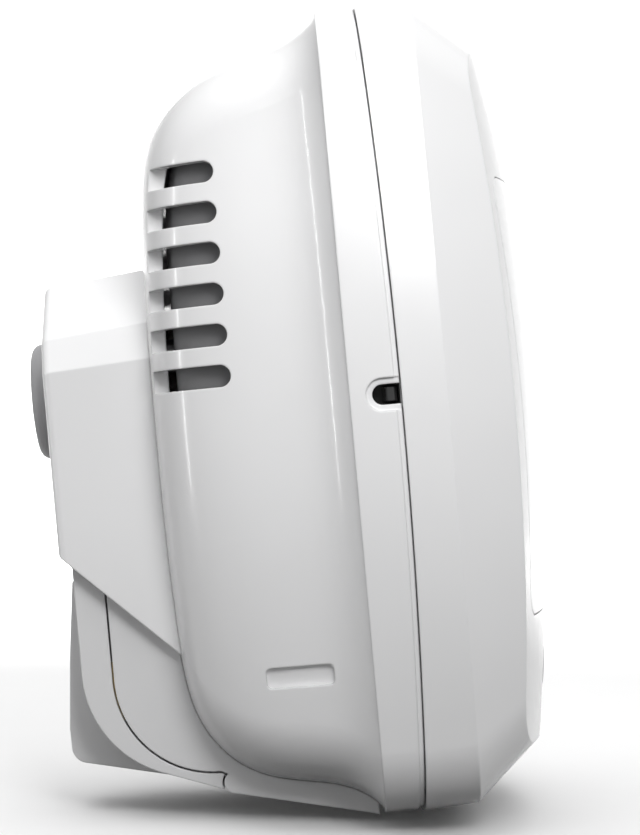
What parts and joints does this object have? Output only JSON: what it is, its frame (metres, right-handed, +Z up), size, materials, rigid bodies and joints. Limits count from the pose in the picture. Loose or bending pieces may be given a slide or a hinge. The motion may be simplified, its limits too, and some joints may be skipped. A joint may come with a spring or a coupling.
{
  "type": "ultrasonic pest repeller",
  "caption": "Plug-in ultrasonic pest repeller with louvred housing, domed front cover, turning plug with sliding blades, side switch and rear case with hinged door.",
  "frame": {"origin": "centre of the rear face of the turning plug disc, which meets the socket", "axes": "+Z up, +Y towards the wall, the front faces -Y"},
  "size_m": [0.0864, 0.0796, 0.1266],
  "materials": {
    "housing_white": "gloss white moulded plastic",
    "case_white": "satin white moulded plastic",
    "panel_white": "gloss white panel",
    "disc_gray": "gray moulded plastic",
    "button_gray": "light gray plastic",
    "baffle_gray": "dark gray plastic",
    "black_plastic": "black plastic",
    "mesh_black": "black acoustic mesh",
    "gasket_rubber": "soft black",
    "transducer_metal": "satin",
    "board_green": "solder resist",
    "transformer_iron": "laminated core and winding",
    "capacitor_sleeve": "sleeved can",
    "clear": "clear",
    "sleeve_white": "natural nylon",
    "screw_steel": "zinc plated",
    "brass": "bright",
    "cell_skin": "printed steel can"
  },
  "bodies": {
    "housing": {"rear_housing": "housing_white", "front_cover": "housing_white", "plug_block": "housing_white", "lower_case": "case_white", "front_panel": "panel_white", "left_vent_baffle": "baffle_gray", "right_vent_baffle": "baffle_gray", "slide_switch_body": "black_plastic", "button_switch": "black_plastic", "control_chip": "black_plastic", "upper_horn": "black_plastic", "lower_horn": "black_plastic", "rectifier_diodes": "black_plastic", "sound_mesh": "mesh_black", "upper_horn_gasket": "gasket_rubber", "lower_horn_gasket": "gasket_rubber", "upper_transducer": "transducer_metal", "lower_transducer": "transducer_metal", "main_board": "board_green", "transformer": "transformer_iron", "capacitors": "capacitor_sleeve", "safety_fuse": "clear", "light_guide": "clear", "status_light": "clear", "cam_sleeve": "sleeve_white", "housing_screws": "screw_steel", "board_screws": "screw_steel", "block_screws": "screw_steel", "hinge_pin": "screw_steel", "cell_contacts": "brass", "backup_cell": "cell_skin"},
    "turning_plug": {"plug_disc": "disc_gray", "retaining_ring": "screw_steel"},
    "blade_slide": {"blade_carrier": "sleeve_white", "cam_pins": "screw_steel", "plug_blades": "brass"},
    "button": {"mode_button": "button_gray"},
    "switch_knob": {"slide_switch_knob": "black_plastic"},
    "door": {"case_door": "case_white"}
  },
  "joints": [
    {"name": "plug_turn", "type": "hinge", "parent": "housing", "child": "turning_plug", "pos_m": [0, 0, 0], "axis": [0, 1, 0], "range_deg": [0, 180]},
    {"name": "blades_extend", "type": "slide", "parent": "turning_plug", "child": "blade_slide", "axis": [0, 1, 0], "range_m": [0, 0.0165]},
    {"name": "mode_press", "type": "slide", "parent": "housing", "child": "button", "axis": [0, 1, 0], "range_m": [0, 0.001], "stiffness_N_per_m": 300},
    {"name": "power_slide", "type": "slide", "parent": "housing", "child": "switch_knob", "axis": [0, 1, 0], "range_m": [0, 0.0014]},
    {"name": "door_hinge", "type": "hinge", "parent": "housing", "child": "door", "pos_m": [0, -0.0271, -0.0613], "axis": [-1, 0, 0], "range_deg": [0, 75]}
  ],
  "couplings": [
    {"joint": "blades_extend", "follows": "plug_turn", "m_per_rad": 0.005252}
  ]
}
